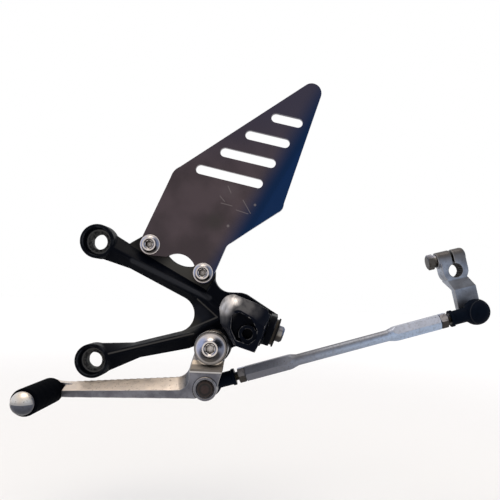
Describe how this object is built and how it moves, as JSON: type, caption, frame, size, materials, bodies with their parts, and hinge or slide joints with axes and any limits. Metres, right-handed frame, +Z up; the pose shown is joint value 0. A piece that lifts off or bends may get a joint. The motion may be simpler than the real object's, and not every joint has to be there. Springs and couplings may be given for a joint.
{
  "type": "motorcycle footpeg bracket with gear lever",
  "caption": "Left-hand motorcycle footpeg bracket with folding peg knuckle, heel guard, gear lever and a ball-jointed link to the shift arm.",
  "frame": {"origin": "midway between the two frame bolt holes, on the bracket's back face", "axes": "+Z up as fitted, +X towards the rear of the motorcycle, -Y outboard towards the rider's foot"},
  "size_m": [0.3095, 0.0856, 0.2301],
  "materials": {
    "bracket_paint": "satin black paint on cast alloy",
    "knuckle_paint": "black paint worn to bare alloy on the edges",
    "guard_coat": "dark satin coat with scratches",
    "bright_steel": "bright plated steel",
    "dark_steel": "blackened steel",
    "dull_steel": "dull used steel",
    "plated_steel": "olive plated steel thread",
    "rusty_steel": "surface rust",
    "cast_alloy": "bare cast alloy",
    "rod_alloy": "drawn and turned alloy bar",
    "bronze": "sintered bronze",
    "rubber": "matt black rubber",
    "seat_plastic": "moulded bearing plastic"
  },
  "bodies": {
    "bracket": {"bracket": "bracket_paint", "heel_guard": "guard_coat", "guard_bolts": "bright_steel", "pivot_bolt": "bright_steel", "pivot_washer": "dark_steel", "footpeg_pin": "dull_steel", "pin_washer": "dull_steel", "pin_clip": "dark_steel"},
    "footpeg": {"footpeg_knuckle": "knuckle_paint"},
    "lever": {"gear_lever": "cast_alloy", "lever_bush": "bronze", "toe_rubber": "rubber", "front_ball_stud": "rusty_steel"},
    "link": {"front_rod_end": "plated_steel", "front_ball_seat": "seat_plastic", "front_boot": "rubber", "front_lock_nut": "dull_steel", "link_rod": "rod_alloy", "rear_lock_nut": "dull_steel", "rear_rod_end": "plated_steel", "rear_ball_seat": "seat_plastic", "rear_boot": "rubber"},
    "shift_arm": {"rear_ball_stud": "dull_steel", "shift_arm": "cast_alloy", "pinch_bolt": "dull_steel"}
  },
  "joints": [
    {"name": "footpeg_fold", "type": "hinge", "parent": "bracket", "child": "footpeg", "pos_m": [0.1093, -0.021, -0.0099], "axis": [-0.9542, 0, 0.299], "range_deg": [0, 75]},
    {"name": "lever_pivot", "type": "hinge", "parent": "bracket", "child": "lever", "pos_m": [0.0839, -0.018, -0.0276], "axis": [0, 1, 0], "range_deg": [-10, 10]},
    {"name": "rod_swing", "type": "hinge", "parent": "lever", "child": "link", "pos_m": [0.0815, -0.006, -0.0549], "axis": [0, 1, 0], "range_deg": [-5, 180]},
    {"name": "arm_swing", "type": "hinge", "parent": "link", "child": "shift_arm", "pos_m": [0.26832, -0.006, 0.00436], "axis": [0, 1, 0], "continuous": true}
  ]
}
